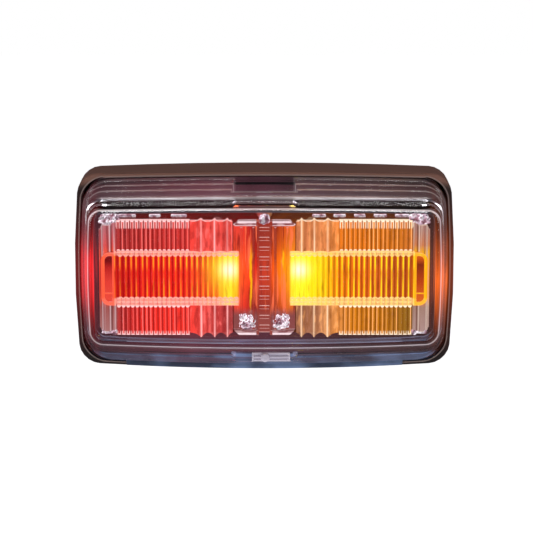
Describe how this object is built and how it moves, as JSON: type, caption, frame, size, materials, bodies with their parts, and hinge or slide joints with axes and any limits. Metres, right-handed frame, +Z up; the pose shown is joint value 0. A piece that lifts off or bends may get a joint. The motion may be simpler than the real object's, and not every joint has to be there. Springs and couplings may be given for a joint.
{
  "type": "led marker lamp",
  "caption": "Rectangular LED marker lamp with a clear ribbed cover, lit red on one half and amber on the other, clipped into a black deflector base.",
  "frame": {"origin": "middle of the back face of the rubber gasket, which lies against the vehicle's body", "axes": "+X along the lamp's length towards the amber half, +Y into the vehicle, +Z up, with the lit face looking along -Y"},
  "size_m": [0.1098, 0.0341, 0.0578],
  "materials": {
    "base_plastic": "satin moulded black",
    "gasket_rubber": "matt foam rubber sheet",
    "grommet_rubber": "matt moulded rubber",
    "housing_plastic": "satin moulded black",
    "resin": "cast dark resin",
    "laminate": "solder mask over glass laminate",
    "screw_steel": "zinc plated",
    "red_chip": "clear silicone dome over a lit red die",
    "amber_chip": "clear silicone dome over a lit amber die",
    "chip_epoxy": "moulded epoxy",
    "ceramic": "glazed ceramic",
    "capacitor_body": "moulded resin",
    "tinned_metal": "bright solder",
    "bezel_plastic": "satin moulded",
    "optic_clear": "polished clear polycarbonate, ribbed",
    "bar_clear": "polished clear polycarbonate, ribbed",
    "cover_clear": "polished clear polycarbonate"
  },
  "bodies": {
    "base": {"deflector_base": "base_plastic", "base_gasket": "gasket_rubber", "cable_grommet": "grommet_rubber"},
    "lamp_unit": {"lamp_housing": "housing_plastic", "cable_bush": "grommet_rubber", "potting": "resin", "circuit_board": "laminate", "board_screw_top": "screw_steel", "board_screw_bottom": "screw_steel", "led_red": "red_chip", "led_amber": "amber_chip", "driver_chip": "chip_epoxy", "rectifier": "chip_epoxy", "resistor_1": "ceramic", "resistor_2": "ceramic", "resistor_3": "ceramic", "resistor_4": "ceramic", "capacitor": "capacitor_body", "terminal_left": "tinned_metal", "terminal_right": "tinned_metal", "inner_bezel": "bezel_plastic", "rib_optic_left": "optic_clear", "rib_optic_right": "optic_clear", "light_bar_left": "bar_clear", "light_bar_right": "bar_clear", "centre_bridge": "optic_clear", "lens_seal": "resin", "outer_lens": "cover_clear", "release_catch": "cover_clear"}
  },
  "joints": [
    {"name": "lamp_unclip", "type": "slide", "parent": "base", "child": "lamp_unit", "axis": [0, -1, 0], "range_m": [0, 0.03]}
  ]
}
